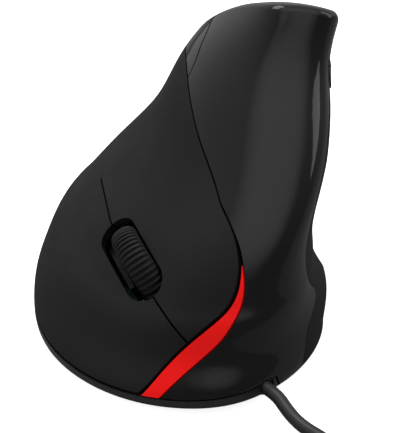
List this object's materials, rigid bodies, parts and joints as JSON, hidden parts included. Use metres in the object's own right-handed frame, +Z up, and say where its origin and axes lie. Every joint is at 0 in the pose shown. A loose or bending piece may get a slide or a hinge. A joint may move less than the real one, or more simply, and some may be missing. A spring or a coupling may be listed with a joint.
{
  "type": "ergonomic mouse",
  "caption": "Vertical corded computer mouse with two finger keys, a ribbed scroll wheel, a red stripe and a thumb rest with side buttons.",
  "frame": {"origin": "centre of the body's footprint on the table, cord left out", "axes": "+Z up; -Y to the front, where the cord leaves; +X to the thumb side"},
  "size_m": [0.0967, 0.2001, 0.0769],
  "materials": {
    "gloss_black": "piano black gloss moulding",
    "soft_black": "matte soft-touch coating",
    "base_black": "satin moulding",
    "accent_red": "glossy red moulding",
    "wheel_rubber": "ribbed matt rubber",
    "inner_plastic": "plain dark moulding",
    "steel": "plain steel",
    "board_green": "solder-resist green laminate",
    "switch_black": "moulded switch case",
    "plunger_white": "white moulded plunger",
    "clear_lens": "clear moulded optic",
    "lamp_red": "tinted lamp",
    "connector_white": "natural nylon",
    "foot_dark": "low-friction pad",
    "cord_black": "satin PVC jacket",
    "plug_black": "moulded PVC",
    "plug_metal": "nickel plate"
  },
  "bodies": {
    "shell": {"base": "base_black", "front_cover": "gloss_black", "back_cover": "gloss_black", "finger_panel": "soft_black", "accent_stripe": "accent_red", "stripe_carrier": "gloss_black", "thumb_panel": "soft_black", "wheel_frame": "inner_plastic", "key_board": "board_green", "left_switch": "switch_black", "right_switch": "switch_black", "middle_switch": "switch_black", "wheel_emitter": "lamp_red", "wheel_receiver": "switch_black", "side_frame": "inner_plastic", "side_board": "board_green", "forward_switch": "switch_black", "back_switch": "switch_black", "main_board": "board_green", "optical_sensor": "switch_black", "sensor_lens": "clear_lens", "sensor_led": "lamp_red", "cable_connector": "connector_white", "board_screws": "steel", "base_screws": "steel", "cable_grommet": "cord_black", "cable": "cord_black", "cable_tail": "cord_black", "cable_coil": "cord_black", "plug_body": "plug_black", "plug_shell": "plug_metal", "plug_tongue": "connector_white", "foot_front": "foot_dark", "foot_thumb": "foot_dark", "foot_rear_left": "foot_dark", "foot_rear_right": "foot_dark"},
    "left_button": {"left_button": "soft_black"},
    "right_button": {"right_button": "soft_black"},
    "left_plunger": {"left_plunger": "plunger_white"},
    "right_plunger": {"right_plunger": "plunger_white"},
    "wheel_cradle": {"wheel_cradle": "inner_plastic", "wheel_axle": "steel"},
    "wheel": {"wheel_tyre": "wheel_rubber", "wheel_hub": "inner_plastic"},
    "middle_plunger": {"middle_plunger": "plunger_white"},
    "forward_button": {"forward_button": "gloss_black"},
    "back_button": {"back_button": "gloss_black"},
    "forward_plunger": {"forward_plunger": "plunger_white"},
    "back_plunger": {"back_plunger": "plunger_white"}
  },
  "joints": [
    {"name": "left_press", "type": "hinge", "parent": "shell", "child": "left_button", "pos_m": [-0.0194, 0.0117, 0.0294], "axis": [0.6157, 0, 0.788], "range_deg": [0, 0.6], "stiffness_Nm_per_rad": 1, "springref_deg": -0.57},
    {"name": "right_press", "type": "hinge", "parent": "shell", "child": "right_button", "pos_m": [-0.0194, 0.0117, 0.0294], "axis": [0.6157, 0, 0.788], "range_deg": [0, 0.6], "stiffness_Nm_per_rad": 1, "springref_deg": -0.57},
    {"name": "left_click", "type": "slide", "parent": "shell", "child": "left_plunger", "axis": [0.4444, 0.2886, -0.848], "range_m": [0, 0.0006]},
    {"name": "right_click", "type": "slide", "parent": "shell", "child": "right_plunger", "axis": [0.4444, 0.2886, -0.848], "range_m": [0, 0.0006]},
    {"name": "wheel_click", "type": "hinge", "parent": "shell", "child": "wheel_cradle", "pos_m": [-0.01536, -0.00685, 0.02378], "axis": [0.8599, 0.128, 0.4942], "range_deg": [0, 1.6], "stiffness_Nm_per_rad": 0.5, "springref_deg": -1.15},
    {"name": "middle_click", "type": "slide", "parent": "shell", "child": "middle_plunger", "axis": [0.4444, 0.2886, -0.848], "range_m": [0, 0.0003]},
    {"name": "wheel_spin", "type": "hinge", "parent": "wheel_cradle", "child": "wheel", "pos_m": [-0.01193, -0.02297, 0.02198], "axis": [0.8599, 0.128, 0.4942], "continuous": true},
    {"name": "forward_press", "type": "slide", "parent": "shell", "child": "forward_button", "axis": [-1, 0, 0], "range_m": [0, 0.0005], "stiffness_N_per_m": 600, "springref_m": -0.0003},
    {"name": "forward_click", "type": "slide", "parent": "shell", "child": "forward_plunger", "axis": [-1, 0, 0], "range_m": [0, 0.0008]},
    {"name": "back_press", "type": "slide", "parent": "shell", "child": "back_button", "axis": [-1, 0, 0], "range_m": [0, 0.0005], "stiffness_N_per_m": 600, "springref_m": -0.0003},
    {"name": "back_click", "type": "slide", "parent": "shell", "child": "back_plunger", "axis": [-1, 0, 0], "range_m": [0, 0.0008]}
  ],
  "couplings": [
    {"joint": "left_click", "follows": "left_press", "m_per_rad": 0.037819},
    {"joint": "right_click", "follows": "right_press", "m_per_rad": 0.037906},
    {"joint": "middle_click", "follows": "wheel_click", "m_per_rad": 0.009},
    {"joint": "forward_click", "follows": "forward_press", "ratio": 1},
    {"joint": "back_click", "follows": "back_press", "ratio": 1}
  ]
}
